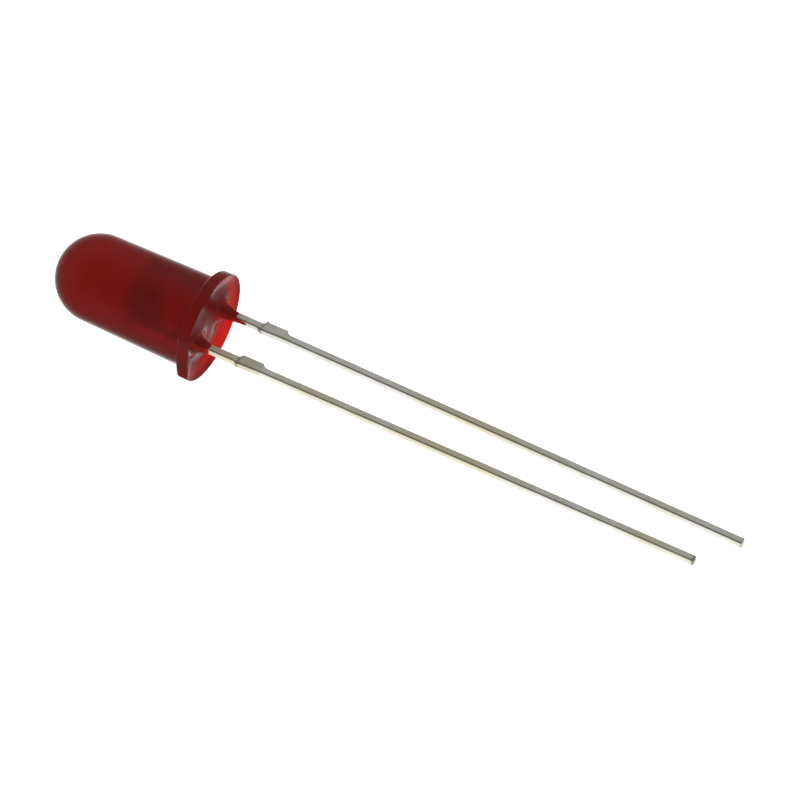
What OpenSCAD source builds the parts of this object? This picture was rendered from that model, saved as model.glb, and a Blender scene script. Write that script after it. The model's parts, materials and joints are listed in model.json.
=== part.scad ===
// Round 5 mm through-hole indicator LED with two long leads, lying at rest.
//
// Build frame: the seating plane of the flange is x = 0, the leads run along +x,
// the dome is at -x, the cathode is at -y and the anode at +y, and the sheet that
// the leads were stamped from is centred on z = 0. at_rest() then lays the part
// down on the edge of its flange and the tips of both leads.

/* [Lens] */
// Diameter of the barrel at the seating plane
barrel_d = 4.9; // [4.2:0.1:6]
// Draft of the barrel towards the dome, in degrees
draft = 1; // [0.5:0.1:2]
// Height of the lens, from the seating plane to the top of the dome
lens_h = 8.9; // [7.3:0.1:11]
// How far the flange stands out from the barrel
flange_lip = 0.5; // [0.4:0.05:0.8]
// Thickness of the flange
flange_t = 0.7; // [0.5:0.05:1.2]
// Radius of the rounded front edge of the flange
flange_round = 0.2; // [0.1:0.05:0.3]
// Room between the barrel and the flat that marks the cathode
flat_gap = 0.1; // [0.05:0.05:0.3]

/* [Cast base] */
// Width of the flat rim around the hollow base
rim_w = 0.12; // [0.08:0.02:0.3]
// Depth of the hollow in the base
hollow_depth = 0.4; // [0.2:0.05:0.5]
// Width of the sloped wall between the rim and the hollow's flat floor
wall_w = 0.8; // [0.5:0.05:1]
// How far the resin climbs each lead
climb = 0.75; // [0.3:0.05:1.2]
// Cover of resin over a lead's corners at the top of its climb
climb_cover = 0.03; // [0.02:0.01:0.1]

/* [Leads] */
// Distance between the centre lines of the leads at the seating plane
pitch = 2.54; // [2:0.01:3.2]
// Width of a lead
lead_w = 0.4; // [0.3:0.05:0.6]
// Thickness of the sheet that the leads are stamped from
sheet_t = 0.4; // [0.3:0.05:0.6]
// Length of the anode, the longer lead, from the seating plane
anode_l = 30; // [22:0.5:36]
// How much shorter the cathode is
cathode_short = 1.6; // [0:0.1:2.5]
// Lean of each lead towards the other, in degrees
toe_in = 0.33; // [0:0.01:0.8]

/* [Tie bar stubs] */
// Distance from the seating plane to the stub
stub_x = 2.2; // [1.6:0.1:3]
// Length of the stub's outer edge
stub_l = 1.15; // [0.6:0.05:2]
// Length of its slope at the lens end
stub_slope = 0.15; // [0.05:0.05:0.4]
// Height of the stub on the side that was cut long
stub_long = 0.2; // [0.1:0.02:0.35]
// Height of the stub on the side that was cut close
stub_close = 0.06; // [0.02:0.02:0.15]
// Radius of the hollow corner at its far end
stub_r = 0.4; // [0.35:0.05:0.8]

/* [Lead heads inside the lens] */
// Height of both heads above the seating plane
head_h = 4.5; // [4:0.1:6]
// Height at which the cathode's head starts to spread
spread_h = 2.1; // [1.6:0.1:2.5]
// Length of the straight edge under the cup
spread_l = 1.1; // [0.3:0.05:1.3]
// Gap between the two heads
head_gap = 0.25; // [0.2:0.05:0.5]
// How far the cathode's shoulder lies below its cup
shoulder = 0.5; // [0.3:0.05:0.8]
// Diameter of the pressed cup's body
cup_d = 1.3; // [1.1:0.05:1.5]
// Length of the pressed cup's body
cup_l = 0.65; // [0.5:0.05:0.9]
// Diameter of the cup's mouth
mouth_d = 1.0; // [0.7:0.05:1.1]
// Diameter of the cup's floor
floor_d = 0.6; // [0.45:0.05:0.7]
// Depth of the cup
cup_depth = 0.3; // [0.2:0.05:0.45]
// How far the cup's body stands out past the sheet's edge under it
cup_side = 0.1; // [0.1:0.05:0.3]
// How far the anode's post spreads outwards at its top
post_lip = 0.08; // [0:0.02:0.2]
// Height of that spread
post_h = 1.5; // [0.4:0.1:1.8]

/* [Die and bond wire] */
// Side of the square die
die_w = 0.3; // [0.2:0.01:0.36]
// Thickness of the die
die_t = 0.2; // [0.1:0.01:0.25]
// Diameter of the pad of silver resin under the die
attach_d = 0.44; // [0.3:0.01:0.46]
// Thickness of that pad
attach_t = 0.02; // [0.02:0.01:0.05]
// Diameter of the metal contact on top of the die
contact_d = 0.11; // [0.09:0.01:0.15]
// Thickness of that contact
contact_t = 0.01; // [0.01:0.01:0.02]
// Diameter of the bond wire
wire_d = 0.03; // [0.025:0.005:0.05]
// Diameter of the ball that joins the wire to the die
ball_d = 0.08; // [0.06:0.01:0.1]
// Height of that ball
ball_t = 0.03; // [0.02:0.01:0.05]
// Height of the wire's loop above the lead heads
loop_h = 0.4; // [0.3:0.05:0.6]
// Radius of the loop's two bends
loop_r = 0.25; // [0.15:0.05:0.3]

/* [Hidden] */
$fn = 96;

// Lens: the dome is tangent to the drafted barrel.
barrel_r = barrel_d / 2;
flange_r = barrel_r + flange_lip;
flat_y = barrel_r + flat_gap;
dome_r = (barrel_r * cos(draft) - lens_h * sin(draft)) / (1 - sin(draft));
dome_h = lens_h - dome_r;
mouth_r = flange_r - rim_w;
climb_r = sqrt(pow(lead_w, 2) + pow(sheet_t, 2)) / 2 + climb_cover;
root_depth = 0.03; // the resin's slopes start this far under the hollow's floor
foot = hollow_depth + root_depth;
slope_r = min(climb + foot, barrel_r - pitch / 2 - climb_r - root_depth);

// Leads: side is -1 for the cathode and 1 for the anode.
cathode_l = anode_l - cathode_short;
stub_end = stub_x + stub_slope + stub_l;
stub_fall = sqrt(2 * stub_r * stub_long - pow(stub_long, 2));
stub_turn = acos((stub_r - stub_long) / stub_r);
cup_r = cup_d / 2;
sheet_in = cup_r - cup_side;
shoulder_h = head_h - shoulder;
post_in = cup_r + head_gap;
post_out = pitch / 2 + lead_w / 2 + post_lip;
cup_floor = head_h - cup_depth;

// Stack on the floor of the cup, and the wire from it to the anode's post.
die_h = cup_floor + attach_t;
contact_h = die_h + die_t;
ball_h = contact_h + contact_t;
wire_h = ball_h + ball_t;
wire_y = (post_in + post_out) / 2;
loop_top = head_h + loop_h;

// Rest: the flange's edge and both lead tips share one plane, whose upward normal
// is (slope, -skew * slope, 1). Both tips touch at their corner on the -y side.
anode_y = tip_y(1, anode_l) - lead_w / 2;
cathode_y = tip_y(-1, cathode_l) - lead_w / 2;
skew = cathode_short / (anode_y - cathode_y);
reach = anode_l - skew * anode_y;
half_t = sheet_t / 2;
stretch = pow(reach, 2) - pow(flange_r * skew, 2);
slope = (reach * half_t - sqrt(pow(reach * half_t, 2) - stretch * (pow(half_t, 2) - pow(flange_r, 2)))) / stretch;
normal = norm([slope, skew * slope, 1]);
tilt = asin(-slope / normal);
roll = atan(-skew * slope);
rest_z = flange_r * norm([skew * slope, 1]) / normal;

// Middle of the laid part's box, so that the origin is under its centre.
dome_x = -dome_h * cos(tilt) - dome_r;
tip_top = (tip_y(1, anode_l) + lead_w / 2) * sin(roll) + half_t * cos(roll);
tip_x = anode_l * cos(tilt) + tip_top * sin(tilt);
flat_z = sqrt(pow(flange_r, 2) - pow(flat_y, 2));
mid_x = (dome_x + tip_x) / 2;
mid_y = (flange_r - flat_y * cos(roll) - flat_z * sin(roll)) / 2;

// Centre line of a lead at distance x from the seating plane; inside the lens it is straight.
function tip_y(side, x) = side * (pitch / 2 - max(x, 0) * tan(toe_in));

// A point beside that centre line.
function beside(side, x, dy) = [x, tip_y(side, x) + dy];

// The edge on the -y side, from the tip to the seating plane. The stub was cut close here.
function close_edge(side, tip) = [
    beside(side, tip, -lead_w / 2),
    beside(side, stub_end, -lead_w / 2),
    beside(side, stub_x, -lead_w / 2 - stub_close),
    beside(side, stub_x, -lead_w / 2),
    beside(side, 0, -lead_w / 2)];

// The edge on the +y side, from the seating plane to the tip. The stub was cut long here,
// and falls to the lead in a hollow arc.
function long_edge(side, tip) = concat(
    [beside(side, 0, lead_w / 2),
     beside(side, stub_x, lead_w / 2),
     beside(side, stub_x + stub_slope, lead_w / 2 + stub_long)],
    [for (i = [6:-1:0]) let (a = stub_turn * i / 6)
        beside(side, stub_end + stub_fall - stub_r * sin(a), lead_w / 2 + stub_r - stub_r * cos(a))],
    [beside(side, tip, lead_w / 2)]);

// The cathode's head spreads from its lead to the lens axis, under the cup.
function cathode_head() = [
    [-shoulder_h, -pitch / 2 - lead_w / 2],
    [-shoulder_h, sheet_in],
    [spread_l - shoulder_h, sheet_in],
    [-spread_h, -pitch / 2 + lead_w / 2]];

// The anode's post rises beside the cup and carries the far end of the wire.
function anode_head() = [
    [post_h - head_h, pitch / 2 - lead_w / 2],
    [-head_h, post_in],
    [-head_h, post_out],
    [post_h - head_h, pitch / 2 + lead_w / 2]];

module stamped(points) {
    translate([0, 0, -half_t]) linear_extrude(sheet_t) polygon(points);
}

// A round along the lens axis, from height h inwards over a length l.
module axial(h, l, r1, r2) {
    translate([-h, 0, 0]) rotate([0, 90, 0]) cylinder(h = l, r1 = r1, r2 = r2);
}

module at_rest() {
    translate([-mid_x, -mid_y, rest_z]) rotate([0, tilt, 0]) rotate([roll, 0, 0]) children();
}

// Cathode lead with the cup that holds the die, stamped and pressed from one strip.
module cathode() {
    difference() {
        union() {
            stamped(concat(close_edge(-1, cathode_l), cathode_head(), long_edge(-1, cathode_l)));
            axial(head_h, cup_l, cup_r, cup_r);
        }
        axial(head_h, cup_depth, mouth_d / 2, floor_d / 2);
    }
}

// Anode lead with its bonding post.
module anode() {
    stamped(concat(close_edge(1, anode_l), anode_head(), long_edge(1, anode_l)));
}

module die() {
    translate([-contact_h, -die_w / 2, -die_w / 2]) cube([die_t, die_w, die_w]);
}

module attach() {
    axial(die_h, attach_t, attach_d / 2, attach_d / 2);
}

module contact() {
    axial(ball_h, contact_t, contact_d / 2, contact_d / 2);
}

// One bend of the wire's loop, a quarter turn about [x, y].
module bend(x, y, turn) {
    translate([x, y, 0]) rotate([0, 0, turn]) rotate_extrude(angle = 90)
        translate([loop_r, 0]) circle(d = wire_d);
}

// Gold wire: a pressed ball on the die, a flat-topped loop, and its end on the post.
module wire() {
    turn_h = loop_top - loop_r;
    axial(wire_h, ball_t, ball_d / 2, ball_d / 2);
    axial(turn_h, turn_h - wire_h, wire_d / 2, wire_d / 2);
    bend(-turn_h, loop_r, 180);
    translate([-loop_top, loop_r, 0]) rotate([-90, 0, 0])
        cylinder(h = wire_y - 2 * loop_r, d = wire_d);
    bend(-turn_h, wire_y - loop_r, 90);
    translate([0, wire_y, 0]) axial(turn_h, turn_h - head_h, wire_d / 2, wire_d / 2);
}

// Half section of the lens: radius across, height above the seating plane up.
module lens_section() {
    intersection() {
        translate([0, dome_h]) circle(dome_r);
        translate([0, dome_h + dome_r * sin(draft)]) square(dome_r);
    }
    polygon([[0, 0], [barrel_r, 0],
        [dome_r * cos(draft), dome_h + dome_r * sin(draft)], [0, dome_h + dome_r * sin(draft)]]);
    square([flange_r - flange_round, flange_t]);
    square([flange_r, flange_t - flange_round]);
    translate([flange_r - flange_round, flange_t - flange_round]) circle(flange_round);
}

// The hollow of the base: a flat floor in a sloped wall, which follows the flange's flat.
module hollow() {
    intersection() {
        rotate([0, 90, 0]) translate([0, 0, -hollow_depth])
            cylinder(h = 2 * hollow_depth, r1 = mouth_r - wall_w, r2 = mouth_r + wall_w);
        translate([0, rim_w - flat_y, -flange_r]) linear_extrude(2 * flange_r)
            polygon([[-hollow_depth, wall_w], [hollow_depth, -wall_w],
                [hollow_depth, 2 * flange_r], [-hollow_depth, 2 * flange_r]]);
    }
}

// Half section of the resin that climbs a lead: radius across, away from the lens up.
module climb_section() {
    translate([0, -foot - root_depth]) square([climb_r, foot + root_depth + climb]);
    difference() {
        translate([0, -foot - root_depth]) square([climb_r + slope_r, root_depth + slope_r]);
        translate([climb_r + slope_r, slope_r - foot]) circle(slope_r);
    }
}

// The lens as cast, with nothing taken out for what it holds.
module casting() {
    difference() {
        rotate([0, -90, 0]) rotate_extrude() lens_section();
        translate([-flange_t, -flat_y - flange_r, -flange_r])
            cube([2 * flange_t, flange_r, 2 * flange_r]);
        hollow();
    }
    for (side = [-1, 1]) translate([0, side * pitch / 2, 0])
        rotate([0, 90, 0]) rotate_extrude() climb_section();
}

// Red tinted resin, cast in one piece around the heads, the die and the wire.
module epoxy_lens() {
    color([0.55, 0.05, 0.04, 0.7]) at_rest() difference() {
        casting();
        cathode();
        anode();
        attach();
        die();
        contact();
        wire();
    }
}

module cathode_lead() { color("silver") at_rest() cathode(); }
module anode_lead() { color("silver") at_rest() anode(); }
module led_die() { color("dimgray") at_rest() die(); }
module die_attach() { color("lightgray") at_rest() attach(); }
module top_contact() { color("gold") at_rest() contact(); }
module bond_wire() { color("gold") at_rest() wire(); }

epoxy_lens();
cathode_lead();
anode_lead();
led_die();
die_attach();
top_contact();
bond_wire();
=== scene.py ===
import json
import math

import bmesh
import bpy
from mathutils import Matrix, Vector, noise
from mathutils.geometry import delaunay_2d_cdt


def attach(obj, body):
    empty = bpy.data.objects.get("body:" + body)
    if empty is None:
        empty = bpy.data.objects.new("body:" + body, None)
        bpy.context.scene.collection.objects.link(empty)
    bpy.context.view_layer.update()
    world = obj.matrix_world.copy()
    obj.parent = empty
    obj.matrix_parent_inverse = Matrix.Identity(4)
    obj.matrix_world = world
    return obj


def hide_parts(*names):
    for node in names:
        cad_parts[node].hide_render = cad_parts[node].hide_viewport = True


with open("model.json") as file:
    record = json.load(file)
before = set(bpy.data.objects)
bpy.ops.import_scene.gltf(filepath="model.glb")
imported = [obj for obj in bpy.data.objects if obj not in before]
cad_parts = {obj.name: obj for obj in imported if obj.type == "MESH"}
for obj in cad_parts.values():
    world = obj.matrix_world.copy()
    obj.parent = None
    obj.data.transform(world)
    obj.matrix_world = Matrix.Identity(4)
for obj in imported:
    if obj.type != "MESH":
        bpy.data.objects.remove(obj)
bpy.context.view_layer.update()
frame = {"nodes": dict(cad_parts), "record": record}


# ---- Lens ---------------------------------------------------------------------------
# Red tinted epoxy, cast in one piece around the lead heads in a polished mould cup.
# The mould's open side leaves the dished base, where the resin crept up both leads
# before it set. Sizes are in millimetres, in the lens's own axes.
mm = 0.001
barrel_r = 2.45        # at the seating plane
draft = math.radians(1)
lens_h = 8.9
flange_r = 2.95
flange_t = 0.7
flange_round = 0.2     # front edge of the flange
flat_y = 2.55          # flat on the cathode's side
root_fillet = 0.12     # where the barrel meets the flange
base_edge = 0.03       # tiny round at the foot of the flange
flat_corner = 0.03     # softens the two corners where the flat meets the flange
round_share = 0.45     # a round takes at most this share of the ledge or strip it is on
hollow_depth = 0.4
hollow_floor = 0.7     # the floor's size as a share of the flange, inside its sloped wall
hollow_crease = 0.12   # softness of the line where the wall meets the floor
unevenness = 0.05      # of the set resin's surface
pitch = 2.54
lead_w = 0.4
climb_cathode = 0.62   # how far the resin climbs each lead
climb_anode = 0.8
pull = 0.4             # how far round each lead the climb reaches
film_h = 0.65          # a film of resin runs on along the anode's inner side
film_t = 0.06
film_w = 0.16

# The lens stands on x = 0 with its dome at -x, the leads run along +x, the cathode
# is at -y, and the leads' sheet faces z. The mounts on the flange say how it lies.
mounts = {m["name"]: m for m in frame["record"]["mounts"]}
rim = Vector(mounts["flange_rim"]["pos_m"])
seat = Vector(mounts["flange_seat"]["pos_m"])
along = Vector(mounts["flange_seat"]["axis"]).normalized()
centre = rim + along * along.dot(seat - rim)
up = (seat - centre).normalized()
lying = Matrix((along, up.cross(along), up)).transposed().to_4x4()
lying.translation = centre


def place(x, y, z):
    """A point in the lens's own axes, in millimetres, as the part lies."""
    return lying @ Vector((x * mm, y * mm, z * mm))


def finish_mesh(name, bm, material):
    """Turns a built mesh into a smooth shaded piece that rides on the part."""
    bmesh.ops.recalc_face_normals(bm, faces=bm.faces)
    for face in bm.faces:
        face.smooth = True
    mesh = bpy.data.meshes.new(name)
    bm.to_mesh(mesh)
    bm.free()
    mesh.materials.append(material)
    piece = bpy.data.objects.new(name, mesh)
    bpy.context.scene.collection.objects.link(piece)
    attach(piece, "root")
    return piece


def join_rings(bm, rings):
    """Quads between neighbouring closed rings of vertices."""
    for near, far in zip(rings, rings[1:]):
        for i in range(len(near)):
            bm.faces.new((near[i - 1], near[i], far[i], far[i - 1]))


def arc(cx, cy, radius, start, end, steps):
    """Points on an arc, angles in degrees."""
    turns = [math.radians(start + (end - start) * i / steps) for i in range(steps + 1)]
    return [(cx + radius * math.cos(t), cy + radius * math.sin(t)) for t in turns]


def outline(angle):
    """Radius of the flange at an angle from the cathode's side, with its flat."""
    if math.cos(angle) < 0.5:
        return flange_r
    flat = flat_y / math.cos(angle)
    return (flange_r + flat - math.hypot(flange_r - flat, flat_corner)) / 2


dome_r = (barrel_r * math.cos(draft) - lens_h * math.sin(draft)) / (1 - math.sin(draft))
dome_h = lens_h - dome_r


def half_section(angle):
    """The lens's outer section from its foot to just under the top of the dome."""
    edge = outline(angle)
    ledge = edge - barrel_r
    front = min(flange_round, round_share * ledge)
    root = min(root_fillet, round_share * ledge)
    root_r = barrel_r - (flange_t + root) * math.tan(draft)
    points = arc(edge - base_edge, base_edge, base_edge, -90, 0, 4)
    points += arc(edge - front, flange_t - front, front, 0, 90, 7)
    points += arc(root_r + root, flange_t + root, root, 270, 180, 6)
    top_r = dome_r * math.cos(draft)
    top_h = dome_h + dome_r * math.sin(draft)
    foot_h = flange_t + root
    steps = 24
    for i in range(1, steps):
        points.append((root_r + (top_r - root_r) * i / steps,
                       foot_h + (top_h - foot_h) * i / steps))
    return points + arc(0, dome_h, dome_r, 1, 89, 44)


def resin_height(y, z):
    """How far the set resin stands proud of the seating plane at a point of the base."""
    reach = min(math.hypot(y, z) / outline(math.atan2(z, -y)), 1)
    wall = (reach - hollow_floor) / (1 - hollow_floor)
    wall = (wall + math.hypot(wall, hollow_crease)) / (1 + math.hypot(1, hollow_crease))
    swell = noise.noise(Vector((y * 0.9, z * 0.9, 3.1))) * unevenness * (1 - reach ** 2)
    height = hollow_depth * (wall - 1) + swell
    half = lead_w / 2
    inside = 0.17      # within the lead itself the climb goes no higher
    for side, climb in ((-1, climb_cathode), (1, climb_anode)):
        # Distance from the lead: square beside it, like its section, and round further out.
        dy, dz = abs(y - side * pitch / 2), abs(z)
        square = (dy ** 6 + dz ** 6) ** (1 / 6)
        away = min(max((math.hypot(dy, dz) - half) / 0.3, 0), 1)
        near = max(square + (math.hypot(dy, dz) - square) * away, inside)
        fade = math.log(1 + (pull / near) ** 2) / math.log(1 + (pull / half) ** 2)
        height += (climb + hollow_depth) * fade * (1 - reach ** 6)
    film_y = pitch / 2 - half - 0.02
    return height + film_h * math.exp(-((y - film_y) / film_t) ** 2 - (z / film_w) ** 4)


def lens_mesh():
    bm = bmesh.new()
    corner = math.degrees(math.acos(flat_y / flange_r))
    turn_step = 1.25
    turns = {i * turn_step for i in range(round(360 / turn_step))}
    for side in (corner, 360 - corner):
        turns |= {side + 0.3 * i for i in range(-4, 5)}
    turns = [math.radians(t) for t in sorted(turns)]
    sections = [half_section(t) for t in turns]
    rings = []
    for k in range(len(sections[0])):
        ring = [(*section[k], t) for section, t in zip(sections, turns)]
        rings.append([bm.verts.new(place(-h, -r * math.cos(t), r * math.sin(t)))
                      for r, h, t in ring])
    join_rings(bm, rings)
    top = bm.verts.new(place(-lens_h, 0, 0))
    for i in range(len(turns)):
        bm.faces.new((rings[-1][i - 1], rings[-1][i], top))

    # The base: points close together at the leads and the rim, triangulated in plan.
    rim_points = [Vector((-(outline(t) - base_edge) * math.cos(t),
                          (outline(t) - base_edge) * math.sin(t))) for t in turns]
    points = list(rim_points)
    for inset in (0.03, 0.07, 0.12, 0.18, 0.25):
        points += [p * (1 - inset / p.length) for p in rim_points[::2]]
    count = 56
    around = [math.tau * (i + 0.5) / count for i in range(count)]
    for side in (-1, 1):
        radius = 0.12
        while radius < 0.95:
            points += [Vector((side * pitch / 2 + radius * math.cos(t), radius * math.sin(t)))
                       for t in around]
            radius *= 1.11
    step = 0.085
    reach = 36
    for row in range(-reach, reach + 1):
        for column in range(-reach, reach + 1):
            p = Vector(((column + 0.5 * (row % 2)) * step, row * step * 0.866))
            clear = min((p - Vector((side * pitch / 2, 0))).length for side in (-1, 1))
            if clear > 0.98 and p.length < outline(math.atan2(p.y, -p.x)) - 0.31:
                points.append(p)
    plan, _, faces, origins, _, _ = delaunay_2d_cdt(
        points, [], [list(range(len(rim_points)))], 1, 1e-5)
    verts = []
    for p, origin in zip(plan, origins):
        edge = [i for i in origin if i < len(rim_points)]
        if edge:
            verts.append(rings[0][edge[0]])
        else:
            verts.append(bm.verts.new(place(resin_height(p.x, p.y), p.x, p.y)))
    for face in faces:
        bm.faces.new([verts[i] for i in face])
    return bm


def new_material(name):
    material = bpy.data.materials.new(name)
    material.use_nodes = True
    return material, material.node_tree, material.node_tree.nodes["Principled BSDF"]


def mottle_group():
    """Soft cloudy variation: a mask from 0 to 1, and the same as a height for bump."""
    group = bpy.data.node_groups.new("mottle", "ShaderNodeTree")
    group.interface.new_socket("Vector", in_out="INPUT", socket_type="NodeSocketVector")
    group.interface.new_socket("Scale", in_out="INPUT", socket_type="NodeSocketFloat")
    group.interface.new_socket("Low", in_out="INPUT", socket_type="NodeSocketFloat")
    group.interface.new_socket("High", in_out="INPUT", socket_type="NodeSocketFloat")
    group.interface.new_socket("Mask", in_out="OUTPUT", socket_type="NodeSocketFloat")
    group.interface.new_socket("Height", in_out="OUTPUT", socket_type="NodeSocketFloat")
    take = group.nodes.new("NodeGroupInput")
    give = group.nodes.new("NodeGroupOutput")
    cloud = group.nodes.new("ShaderNodeTexNoise")
    cloud.inputs["Detail"].default_value = 4
    spread = group.nodes.new("ShaderNodeMapRange")
    spread.interpolation_type = "SMOOTHSTEP"
    join = group.links.new
    join(take.outputs["Vector"], cloud.inputs["Vector"])
    join(take.outputs["Scale"], cloud.inputs["Scale"])
    join(cloud.outputs["Fac"], spread.inputs["Value"])
    join(take.outputs["Low"], spread.inputs["From Min"])
    join(take.outputs["High"], spread.inputs["From Max"])
    join(spread.outputs["Result"], give.inputs["Mask"])
    join(cloud.outputs["Fac"], give.inputs["Height"])
    return group


mottle = mottle_group()


def add_group(tree, group, vector, **values):
    node = tree.nodes.new("ShaderNodeGroup")
    node.node_tree = group
    tree.links.new(vector, node.inputs["Vector"])
    for name, value in values.items():
        node.inputs[name].default_value = value
    return node


def own_axes(tree):
    """Surface coordinates in the lens's own axes, in metres."""
    coords = tree.nodes.new("ShaderNodeTexCoord")
    turn = tree.nodes.new("ShaderNodeMapping")
    back = lying.inverted()
    turn.inputs["Location"].default_value = back.translation
    turn.inputs["Rotation"].default_value = back.to_euler()
    tree.links.new(coords.outputs["Object"], turn.inputs["Vector"])
    return turn.outputs["Vector"]


def vary(tree, mask, low, high, target):
    """Lets a socket run between two values over the surface."""
    scale = tree.nodes.new("ShaderNodeMapRange")
    scale.inputs["To Min"].default_value = low
    scale.inputs["To Max"].default_value = high
    tree.links.new(mask, scale.inputs["Value"])
    tree.links.new(scale.outputs["Result"], target)


def blend(tree, mask, low, high):
    """A colour between two over the surface; the low one may itself be a blend."""
    mix = tree.nodes.new("ShaderNodeMix")
    mix.data_type = "RGBA"
    if isinstance(low, tuple):
        mix.inputs["A"].default_value = (*low, 1)
    else:
        tree.links.new(low, mix.inputs["A"])
    mix.inputs["B"].default_value = (*high, 1)
    tree.links.new(mask, mix.inputs["Factor"])
    return mix.outputs["Result"]


def add_bump(tree, height, shader, depth):
    """Fine relief in the surface, its depth in metres."""
    bump = tree.nodes.new("ShaderNodeBump")
    bump.inputs["Distance"].default_value = depth
    tree.links.new(height, bump.inputs["Height"])
    tree.links.new(bump.outputs["Normal"], shader.inputs["Normal"])


def resin_material():
    """Deep red dyed epoxy: glossy skin, cloudy inside, red by depth."""
    material, tree, shader = new_material("red_epoxy")
    shader.inputs["IOR"].default_value = 1.52
    shader.inputs["Transmission Weight"].default_value = 0.9
    shader.inputs["Specular Tint"].default_value = (0, 0, 0, 1)
    shader.inputs["Coat Weight"].default_value = 1.0
    shader.inputs["Coat Roughness"].default_value = 0.04
    shader.inputs["Coat IOR"].default_value = 1.5
    where = own_axes(tree)
    cloud = add_group(tree, mottle, where, Scale=420, Low=0.3, High=0.7)
    skin = add_group(tree, mottle, where, Scale=1500, Low=0.45, High=0.75)
    red = blend(tree, cloud.outputs["Mask"], (0.7, 0.017, 0.005), (0.76, 0.022, 0.006))
    tree.links.new(red, shader.inputs["Base Color"])
    vary(tree, cloud.outputs["Mask"], 0.46, 0.54, shader.inputs["Roughness"])
    add_bump(tree, skin.outputs["Height"], shader, 3e-6)
    depth = tree.nodes.new("ShaderNodeVolumeAbsorption")
    depth.inputs["Color"].default_value = (0.82, 0.14, 0.06, 1)
    depth.inputs["Density"].default_value = 3000
    tree.links.new(depth.outputs["Volume"], tree.nodes["Material Output"].inputs["Volume"])
    return material


lens = finish_mesh("lens", lens_mesh(), resin_material())
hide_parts("epoxy_lens")


# ---- Leads --------------------------------------------------------------------------
# Two legs stamped from tin plated steel strip. The stubs near the lens are where the tie
# bar was sheared off. Inside the lens one head carries the die and the other its wire.
sheet_t = 0.4
lead_corner = 0.06     # the rolled and burred corners of the strip
anode_l = 30
cathode_l = 28.4
toe_in = math.radians(0.33)
stub_x = 2.2           # where the stubs start and end, from the seating plane
stub_end = 3.5
stub_slope = 0.15
stub_long = 0.2        # how far they stand out on one side of the lead, and on the other
stub_close = 0.06
stub_r = 0.4           # the scooped end of the long side
burr = 0.05            # torn metal at the ends of the sheared edge
burr_l = 0.05
close_burr = 0.07      # and at the start of the stub's close side
close_burr_l = 0.03
sway = 0.006           # how far the strip is from straight
head_h = 4.5           # top of both heads
spread_h = 2.1         # where the cathode starts to widen
spread_l = 1.1         # length of its full width
shoulder_h = 4
sheet_in = 0.55        # its inner edge, under the cup
post_h = 1.5           # length of the anode's bonding post
post_lip = 0.08
head_gap = 0.25        # between the cup and the post
cup_r = 0.65
cup_l = 0.65
cup_mouth_r = 0.5
cup_floor_r = 0.3
cup_depth = 0.3
soft_edge = 0.03       # on the cup and on the ends of the heads
lead_span = 32         # beyond the longer lead's tip


def lean(side, x):
    """Centre line of a lead at a distance from the seating plane."""
    return side * (pitch / 2 - max(x, 0) * math.tan(toe_in))


def stub_profile(x):
    """How far the sheared stub stands out on its long side, and on its close side."""
    if x <= stub_x:
        return 0, 0
    if x <= stub_end:
        rise = min((x - stub_x) / stub_slope, 1)
        return rise * stub_long, stub_close * (stub_end - x) / (stub_end - stub_x)
    scoop = math.sqrt(2 * stub_r * stub_long - stub_long ** 2)
    left = max(stub_end + scoop - x, 0)
    return stub_r - math.sqrt(stub_r ** 2 - left ** 2), 0


def strip_section(x, low, high, burr_size=0.0, shrink=0.0):
    """One rounded section of the strip. The burr lifts its corner at +y and +z, and the
    points across its two broad faces keep their smooth shading flat."""
    half = sheet_t / 2 - shrink
    low, high = low + shrink, high - shrink
    corner = min(lead_corner, round_share * (high - low))
    left, right, top = low + corner, high - corner, half - corner
    across = [left + (right - left) * i / 4 for i in (1, 2, 3)]
    ring = [(y + burr_size, z + 0.7 * burr_size) for y, z in arc(right, top, corner, 0, 90, 4)]
    ring += [(y, half) for y in reversed(across)]
    ring += arc(left, top, corner, 90, 180, 4)
    ring += arc(left, -top, corner, 180, 270, 4)
    ring += [(y, -half) for y in across]
    ring += arc(right, -top, corner, 270, 360, 4)
    return [(x, y, z) for y, z in ring]


def lead_stations(side, length):
    """Sections from the head in the lens to the cut tip."""
    stations = []

    def add(x, low, high, burr_size=0.0, shrink=0.0):
        stations.append(strip_section(x, low, high, burr_size, shrink))

    half = lead_w / 2
    if side < 0:
        outer = -pitch / 2 - half
        add(-shoulder_h, outer, sheet_in, shrink=soft_edge)
        add(-shoulder_h + soft_edge, outer, sheet_in)
        add(-shoulder_h + spread_l, outer, sheet_in)
        add(-spread_h, outer, -pitch / 2 + half)
    else:
        post_in, post_out = cup_r + head_gap, pitch / 2 + half + post_lip
        add(-head_h, post_in, post_out, shrink=soft_edge)
        add(-head_h + soft_edge, post_in, post_out)
        add(-head_h + post_h, pitch / 2 - half, pitch / 2 + half)
    tip_edge = 0.03
    torn_share = 0.6 + 0.4 * side     # the cathode's burr is the smaller one
    x = -2.0
    while x < length - tip_edge - 0.001:
        middle = lean(side, x) + sway * noise.noise(Vector((x * 0.6, side * 5.0, 0)))
        long_side, close_side = stub_profile(x)
        torn = sum(math.exp(-((x - at) / burr_l) ** 2)
                   for at in (stub_x + stub_slope, stub_end + 0.02))
        close_side += close_burr * math.exp(-((x - stub_x - 0.02) / close_burr_l) ** 2)
        add(x, middle - half - close_side, middle + half + long_side, burr * torn * torn_share)
        x += 0.03 if stub_x - 0.1 < x < stub_end + 0.5 else 0.2
    middle = lean(side, length)
    add(length - tip_edge, middle - half, middle + half)
    add(length, middle - half, middle + half, shrink=0.022)
    return stations


def lead_mesh(side, length):
    bm = bmesh.new()
    rings = [[bm.verts.new(place(*p)) for p in ring] for ring in lead_stations(side, length)]
    join_rings(bm, rings)
    bm.faces.new(rings[0])
    bm.faces.new(rings[-1])
    return bm


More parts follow.
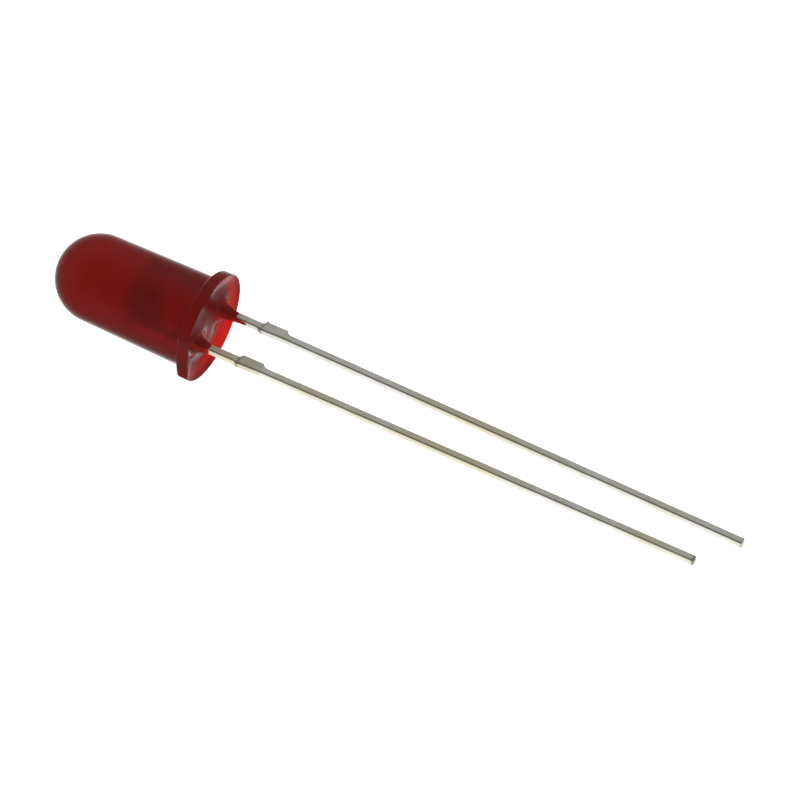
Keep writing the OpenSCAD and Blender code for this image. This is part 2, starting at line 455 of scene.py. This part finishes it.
def cup_mesh():
    """The round cup that is pressed into the cathode's head, with its dished mouth."""
    bm = bmesh.new()
    floor = -head_h + cup_depth
    foot = -head_h + cup_l
    section = [(0.0, floor), (cup_floor_r - 0.02, floor), (cup_floor_r, floor - 0.01)]
    section += [(cup_mouth_r - 0.01, -head_h + 0.01), (cup_mouth_r, -head_h)]
    section += arc(cup_r - soft_edge, -head_h + soft_edge, soft_edge, 270, 360, 3)
    section += [(cup_r, foot - soft_edge), (cup_r - soft_edge, foot), (0.0, foot)]
    turns = [math.tau * i / 72 for i in range(72)]
    first = bm.verts.new(place(section[0][1], 0, 0))
    last = bm.verts.new(place(section[-1][1], 0, 0))
    rings = [[bm.verts.new(place(x, r * math.cos(t), r * math.sin(t))) for t in turns]
             for r, x in section[1:-1]]
    join_rings(bm, rings)
    for i in range(len(turns)):
        bm.faces.new((rings[0][i - 1], rings[0][i], first))
        bm.faces.new((rings[-1][i - 1], rings[-1][i], last))
    return bm


def grain_group():
    """Fine lines drawn along a strip by the rolls and the plating line."""
    group = bpy.data.node_groups.new("drawn_grain", "ShaderNodeTree")
    group.interface.new_socket("Vector", in_out="INPUT", socket_type="NodeSocketVector")
    group.interface.new_socket("Along", in_out="INPUT", socket_type="NodeSocketFloat")
    group.interface.new_socket("Across", in_out="INPUT", socket_type="NodeSocketFloat")
    group.interface.new_socket("Lines", in_out="OUTPUT", socket_type="NodeSocketFloat")
    take = group.nodes.new("NodeGroupInput")
    give = group.nodes.new("NodeGroupOutput")
    squeeze = group.nodes.new("ShaderNodeCombineXYZ")
    scale = group.nodes.new("ShaderNodeVectorMath")
    scale.operation = "MULTIPLY"
    lines = group.nodes.new("ShaderNodeTexNoise")
    lines.inputs["Scale"].default_value = 1
    lines.inputs["Detail"].default_value = 3
    join = group.links.new
    join(take.outputs["Along"], squeeze.inputs["X"])
    join(take.outputs["Across"], squeeze.inputs["Y"])
    join(take.outputs["Across"], squeeze.inputs["Z"])
    join(take.outputs["Vector"], scale.inputs[0])
    join(squeeze.outputs["Vector"], scale.inputs[1])
    join(scale.outputs["Vector"], lines.inputs["Vector"])
    join(lines.outputs["Fac"], give.inputs["Lines"])
    return group


grain = grain_group()


def set_ramp(ramp, stops):
    """Gives a colour ramp its greys, as pairs of a place and a level."""
    marks = ramp.elements
    while len(marks) < len(stops):
        marks.new(1.0)
    for mark, (at, level) in zip(marks, stops):
        mark.position = at
        mark.color = (level, level, level, 1)


def along_lead(tree, where, stops):
    """A mask that rises and falls with the distance from the seating plane."""
    part = tree.nodes.new("ShaderNodeSeparateXYZ")
    share = tree.nodes.new("ShaderNodeMapRange")
    share.inputs["From Max"].default_value = lead_span * mm
    ramp = tree.nodes.new("ShaderNodeValToRGB")
    set_ramp(ramp.color_ramp, [(x / lead_span, level) for x, level in stops])
    tree.links.new(where, part.inputs["Vector"])
    tree.links.new(part.outputs["X"], share.inputs["Value"])
    tree.links.new(share.outputs["Result"], ramp.inputs["Fac"])
    return ramp.outputs["Color"]


def painted_corner_shade(tree):
    """A mask of the strip's corner at -y and +z, for a painted shade that stands in for the dark
    reflection along that edge.
    """
    coords = tree.nodes.new("ShaderNodeTexCoord")
    turn = tree.nodes.new("ShaderNodeMapping")
    turn.vector_type = "VECTOR"
    turn.inputs["Rotation"].default_value = lying.inverted().to_euler()
    part = tree.nodes.new("ShaderNodeSeparateXYZ")
    both = tree.nodes.new("ShaderNodeMath")
    both.operation = "MULTIPLY"
    spread = tree.nodes.new("ShaderNodeMapRange")
    spread.interpolation_type = "SMOOTHSTEP"
    spread.inputs["From Min"].default_value = -0.02
    spread.inputs["From Max"].default_value = -0.25
    spread.inputs["To Max"].default_value = 0.8
    tree.links.new(coords.outputs["Normal"], turn.inputs["Vector"])
    tree.links.new(turn.outputs["Vector"], part.inputs["Vector"])
    tree.links.new(part.outputs["Y"], both.inputs[0])
    tree.links.new(part.outputs["Z"], both.inputs[1])
    tree.links.new(both.outputs["Value"], spread.inputs["Value"])
    return spread.outputs["Result"]


def tin_material(name, tip, tip_wear, stub_wear):
    """Matt tin on steel, a little tarnished, with fine lines along the strip, worn at the stub
    and tip, and with painted shade along one corner and across the stub's shoulders.
    """
    material, tree, shader = new_material(name)
    shader.inputs["Metallic"].default_value = 0.72
    where = own_axes(tree)
    tarnish = add_group(tree, mottle, where, Scale=900, Low=0.35, High=0.7)
    stain = add_group(tree, mottle, where, Scale=110, Low=0.45, High=0.62)
    lines = add_group(tree, grain, where, Along=350, Across=14000)
    # Darker along the lead: real wear on the sheared stub and the cut tip, and painted shade in
    # narrow bands across the stub's shoulders at both its ends.
    wear_and_shoulder_shade = along_lead(tree, where, (
        (stub_x - 0.06, 0), (stub_x - 0.02, 1), (stub_x + 0.02, 1), (stub_x + 0.08, stub_wear),
        (stub_end, stub_wear), (stub_end + 0.06, 0.5), (stub_end + 0.12, 0),
        (tip - 0.07, 0), (tip - 0.03, tip_wear)))
    colour = blend(tree, tarnish.outputs["Mask"], (0.8, 0.79, 0.73), (0.7, 0.685, 0.58))
    colour = blend(tree, stain.outputs["Mask"], colour, (0.72, 0.67, 0.48))
    # Wear at the stub and tip, with painted shade across the stub's shoulders.
    colour = blend(tree, wear_and_shoulder_shade, colour, (0.06, 0.055, 0.05))
    # Painted shade: the corner at -y and +z is darkened to stand in for the dark reflection along
    # that edge.
    colour = blend(tree, painted_corner_shade(tree), colour, (0.1, 0.095, 0.08))
    tree.links.new(colour, shader.inputs["Base Color"])
    vary(tree, lines.outputs["Lines"], 0.26, 0.44, shader.inputs["Roughness"])
    add_bump(tree, lines.outputs["Lines"], shader, 8e-6)
    return material


tin = tin_material("cathode_tin", cathode_l, 0.75, 0.15)
cathode = finish_mesh("cathode", lead_mesh(-1, cathode_l), tin)
cup = finish_mesh("cup", cup_mesh(), tin)
press = cathode.modifiers.new("press", "BOOLEAN")
press.operation = "UNION"
press.object = cup
bpy.context.view_layer.update()
graph = bpy.context.evaluated_depsgraph_get()
whole = bpy.data.meshes.new_from_object(cathode.evaluated_get(graph))
cathode.modifiers.clear()
cathode.data = whole
bpy.data.objects.remove(cup)
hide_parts("cathode_lead")

anode = finish_mesh("anode", lead_mesh(1, anode_l), tin_material("anode_tin", anode_l, 0.4, 0.03))
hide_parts("anode_lead")


# ---- Die, its bond and its wire -----------------------------------------------------
# A diced semiconductor crystal, glued into the cup with silver filled resin. A gold
# contact on its top takes the ball end of the gold bond wire.
def inner_material(name, low, high, metallic, rough, scale, depth):
    """A finish of one of the small pieces in the resin, between two colours."""
    material, tree, shader = new_material(name)
    shader.inputs["Metallic"].default_value = metallic
    cloud = add_group(tree, mottle, own_axes(tree), Scale=scale, Low=0.3, High=0.7)
    tree.links.new(blend(tree, cloud.outputs["Mask"], low, high), shader.inputs["Base Color"])
    vary(tree, cloud.outputs["Mask"], rough[0], rough[1], shader.inputs["Roughness"])
    add_bump(tree, cloud.outputs["Height"], shader, depth)
    return material


crystal = inner_material("crystal", (0.05, 0.035, 0.04), (0.11, 0.07, 0.07),
                         metallic=0.3, rough=(0.15, 0.35), scale=9000, depth=2e-6)
silver_resin = inner_material("silver_resin", (0.5, 0.5, 0.49), (0.66, 0.66, 0.64),
                              metallic=0.9, rough=(0.4, 0.6), scale=30000, depth=6e-6)
gold = inner_material("gold", (0.9, 0.62, 0.25), (1.0, 0.72, 0.32),
                      metallic=1.0, rough=(0.15, 0.3), scale=20000, depth=1e-6)
for node, finish in (("led_die", crystal), ("die_attach", silver_resin),
                     ("top_contact", gold), ("bond_wire", gold)):
    mesh = frame["nodes"][node].data
    mesh.materials.clear()
    mesh.materials.append(finish)


# ---- Studio -------------------------------------------------------------------------
# A white lit table in a light tent. The tent's open side is dark, so the part's facing
# side stays clear of reflections and the white shows only along its edges.
open_az = math.radians(29.99)
open_el = math.radians(45.12)
open_side = Vector((math.sin(open_az) * math.cos(open_el),
                    -math.cos(open_az) * math.cos(open_el), math.sin(open_el)))


def table_material():
    """Matt white, and lit from below so that it stays white."""
    material, tree, shader = new_material("white_table")
    cloud = add_group(tree, mottle, own_axes(tree), Scale=30, Low=0.3, High=0.7)
    white = blend(tree, cloud.outputs["Mask"], (0.8, 0.8, 0.8), (0.82, 0.82, 0.82))
    tree.links.new(white, shader.inputs["Base Color"])
    shader.inputs["Roughness"].default_value = 0.9
    shader.inputs["Emission Color"].default_value = (1, 1, 1, 1)
    shader.inputs["Emission Strength"].default_value = 0.9
    return material


bm = bmesh.new()
bmesh.ops.create_circle(bm, cap_ends=True, segments=96, radius=0.4)
mesh = bpy.data.meshes.new("table")
bm.to_mesh(mesh)
bm.free()
mesh.materials.append(table_material())
table = bpy.data.objects.new("table", mesh)
table.visible_glossy = False
bpy.context.scene.collection.objects.link(table)


def tent_world():
    """White all round for what is seen and shines through; shaded where it is mirrored."""
    world = bpy.data.worlds.new("light_tent")
    world.use_nodes = True
    bpy.context.scene.world = world
    tree = world.node_tree
    background = tree.nodes["Background"]
    join = tree.links.new
    coords = tree.nodes.new("ShaderNodeTexCoord")
    facing = tree.nodes.new("ShaderNodeVectorMath")
    facing.operation = "DOT_PRODUCT"
    facing.inputs[1].default_value = open_side
    shade = tree.nodes.new("ShaderNodeValToRGB")
    shade.color_ramp.interpolation = "EASE"
    set_ramp(shade.color_ramp, ((0.0, 0.75), (0.05, 0.6), (0.1, 0.23), (0.2, 0.12),
                                (0.34, 0.07), (0.5, 0.1), (1.0, 0.1)))
    to_unit = tree.nodes.new("ShaderNodeMapRange")
    to_unit.inputs["From Min"].default_value = -1
    path = tree.nodes.new("ShaderNodeLightPath")
    pick = tree.nodes.new("ShaderNodeMix")
    pick.data_type = "RGBA"
    pick.inputs["A"].default_value = (1, 1, 1, 1)
    join(coords.outputs["Generated"], facing.inputs[0])
    join(facing.outputs["Value"], to_unit.inputs["Value"])
    join(to_unit.outputs["Result"], shade.inputs["Fac"])
    join(shade.outputs["Color"], pick.inputs["B"])
    join(path.outputs["Is Glossy Ray"], pick.inputs["Factor"])
    join(pick.outputs["Result"], background.inputs["Color"])


tent_world()

key_data = bpy.data.lights.new("key", "AREA")
key_data.size = 0.3
key_data.energy = 0.4
key = bpy.data.objects.new("key", key_data)
key.location = (-0.1, 0.12, 0.35)
key.rotation_euler = (-Vector(key.location)).to_track_quat("-Z", "Y").to_euler()
key.visible_glossy = False
key.visible_transmission = False
bpy.context.scene.collection.objects.link(key)

# The lit table as the leads mirror it, low enough to lie under them.
glow_data = bpy.data.lights.new("table_glow", "AREA")
glow_data.size = 0.08
glow_data.energy = 0.017
glow = bpy.data.objects.new("table_glow", glow_data)
glow.location = (0, 0, 0.00002)
glow.rotation_euler = (math.pi, 0, 0)
glow.visible_camera = False
glow.visible_transmission = False
leads_only = bpy.data.collections.new("leads_only")
leads_only.objects.link(cathode)
leads_only.objects.link(anode)
glow.light_linking.receiver_collection = leads_only
bpy.context.scene.collection.objects.link(glow)

camera_data = bpy.data.cameras.new("camera")
camera_data.lens = 529.6
camera_data.sensor_width = 36
camera = bpy.data.objects.new("camera", camera_data)
aim = Vector((-0.00092, 0.0021, 0.00011))
distance = 0.6
camera.location = aim + open_side * distance
swing = Matrix.Rotation(open_az, 3, "Z")
tilt = Matrix.Rotation(math.pi / 2 - open_el, 3, "X")
roll = Matrix.Rotation(math.radians(-2.07), 3, "Z")
camera.rotation_euler = (swing @ tilt @ roll).to_euler()
bpy.context.scene.collection.objects.link(camera)
bpy.context.scene.camera = camera
bpy.context.scene.view_settings.view_transform = "Standard"
